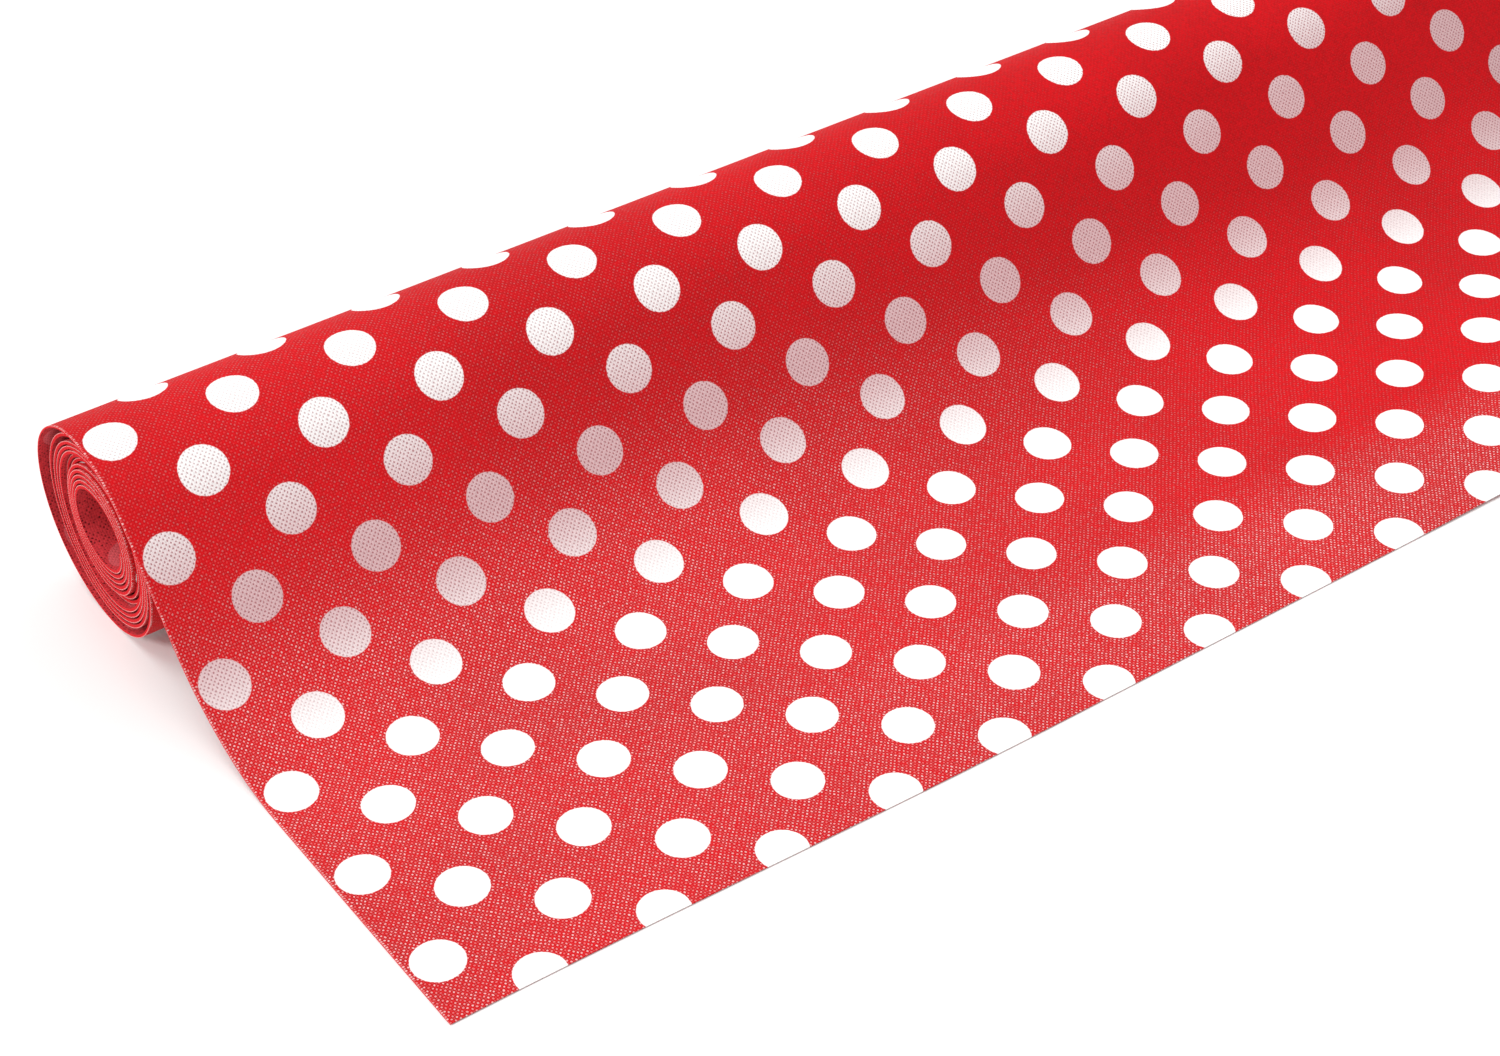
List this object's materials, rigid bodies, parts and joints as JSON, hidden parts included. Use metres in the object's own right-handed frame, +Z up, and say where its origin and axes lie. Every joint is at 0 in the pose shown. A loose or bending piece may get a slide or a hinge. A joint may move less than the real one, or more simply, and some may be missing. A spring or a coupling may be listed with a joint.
{
  "type": "fabric roll",
  "caption": "Coreless roll of polka-dot cotton cloth with its free end drawn off over the top and laid flat, able to lift, turn back at its edge and twist tighter.",
  "frame": {"origin": "on the table, under the middle of the whole part", "axes": "+X along the roll, from the cut side that shows its turns to the other side; -Y towards the free edge; +Z up"},
  "size_m": [0.4516, 0.153, 0.0434],
  "materials": {
    "printed_cotton": "plain-weave cotton, red ground with white dots, matt",
    "wound_cotton": "plain-weave cotton seen on its back and cut edges, matt"
  },
  "bodies": {
    "outer_turn": {"outer_turn": "printed_cotton"},
    "middle_turns": {"middle_turns": "wound_cotton"},
    "core_turns": {"core_turns": "wound_cotton"},
    "fall_panel_1": {"fall_panel_1": "printed_cotton"},
    "fall_panel_2": {"fall_panel_2": "printed_cotton"},
    "sweep_panel_1": {"sweep_panel_1": "printed_cotton"},
    "sweep_panel_2": {"sweep_panel_2": "printed_cotton"},
    "sweep_panel_3": {"sweep_panel_3": "printed_cotton"},
    "sweep_panel_4": {"sweep_panel_4": "printed_cotton"},
    "lying_panel_1": {"lying_panel_1": "printed_cotton"},
    "lying_panel_2": {"lying_panel_2": "printed_cotton"},
    "lying_panel_3": {"lying_panel_3": "printed_cotton"},
    "lying_panel_4": {"lying_panel_4": "printed_cotton"},
    "lying_panel_5": {"lying_panel_5": "printed_cotton"}
  },
  "joints": [
    {"name": "sheet_lift", "type": "hinge", "parent": "outer_turn", "child": "fall_panel_1", "pos_m": [0, 0.03836, 0.03554], "axis": [-1, 0, 0], "range_deg": [0, 22.5]},
    {"name": "fall_bend", "type": "hinge", "parent": "fall_panel_1", "child": "fall_panel_2", "pos_m": [0, 0.03059, 0.02628], "axis": [-1, 0, 0], "range_deg": [0, 22.5]},
    {"name": "sweep_bend_1", "type": "hinge", "parent": "fall_panel_2", "child": "sweep_panel_1", "pos_m": [0, 0.02281, 0.01702], "axis": [-1, 0, 0], "range_deg": [-11.25, 0]},
    {"name": "sweep_bend_2", "type": "hinge", "parent": "sweep_panel_1", "child": "sweep_panel_2", "pos_m": [0, 0.01545, 0.00997], "axis": [-1, 0, 0], "range_deg": [-11.25, 0]},
    {"name": "sweep_bend_3", "type": "hinge", "parent": "sweep_panel_2", "child": "sweep_panel_3", "pos_m": [0, 0.00674, 0.00468], "axis": [-1, 0, 0], "range_deg": [-11.25, 0]},
    {"name": "sweep_bend_4", "type": "hinge", "parent": "sweep_panel_3", "child": "sweep_panel_4", "pos_m": [0, -0.00291, 0.00141], "axis": [-1, 0, 0], "range_deg": [-11.25, 0]},
    {"name": "edge_curl_1", "type": "hinge", "parent": "sweep_panel_4", "child": "lying_panel_1", "pos_m": [0, -0.01304, 0.0003], "axis": [-1, 0, 0], "range_deg": [0, 36]},
    {"name": "edge_curl_2", "type": "hinge", "parent": "lying_panel_1", "child": "lying_panel_2", "pos_m": [0, -0.02574, 0.0003], "axis": [-1, 0, 0], "range_deg": [0, 36]},
    {"name": "edge_curl_3", "type": "hinge", "parent": "lying_panel_2", "child": "lying_panel_3", "pos_m": [0, -0.03844, 0.0003], "axis": [-1, 0, 0], "range_deg": [0, 36]},
    {"name": "edge_curl_4", "type": "hinge", "parent": "lying_panel_3", "child": "lying_panel_4", "pos_m": [0, -0.05114, 0.0003], "axis": [-1, 0, 0], "range_deg": [0, 36]},
    {"name": "edge_curl_5", "type": "hinge", "parent": "lying_panel_4", "child": "lying_panel_5", "pos_m": [0, -0.06384, 0.0003], "axis": [-1, 0, 0], "range_deg": [0, 36]},
    {"name": "wrap_tighten", "type": "hinge", "parent": "outer_turn", "child": "middle_turns", "pos_m": [0, 0.05479, 0.02175], "axis": [-1, 0, 0], "range_deg": [0, 30]},
    {"name": "core_tighten", "type": "hinge", "parent": "middle_turns", "child": "core_turns", "pos_m": [0, 0.05479, 0.02175], "axis": [-1, 0, 0], "range_deg": [0, 30]}
  ],
  "couplings": [
    {"joint": "fall_bend", "follows": "sheet_lift", "ratio": 1},
    {"joint": "sweep_bend_1", "follows": "sheet_lift", "ratio": -0.5},
    {"joint": "sweep_bend_2", "follows": "sheet_lift", "ratio": -0.5},
    {"joint": "sweep_bend_3", "follows": "sheet_lift", "ratio": -0.5},
    {"joint": "sweep_bend_4", "follows": "sheet_lift", "ratio": -0.5},
    {"joint": "edge_curl_2", "follows": "edge_curl_1", "ratio": 1},
    {"joint": "edge_curl_3", "follows": "edge_curl_1", "ratio": 1},
    {"joint": "edge_curl_4", "follows": "edge_curl_1", "ratio": 1},
    {"joint": "edge_curl_5", "follows": "edge_curl_1", "ratio": 1},
    {"joint": "core_tighten", "follows": "wrap_tighten", "ratio": 1}
  ]
}
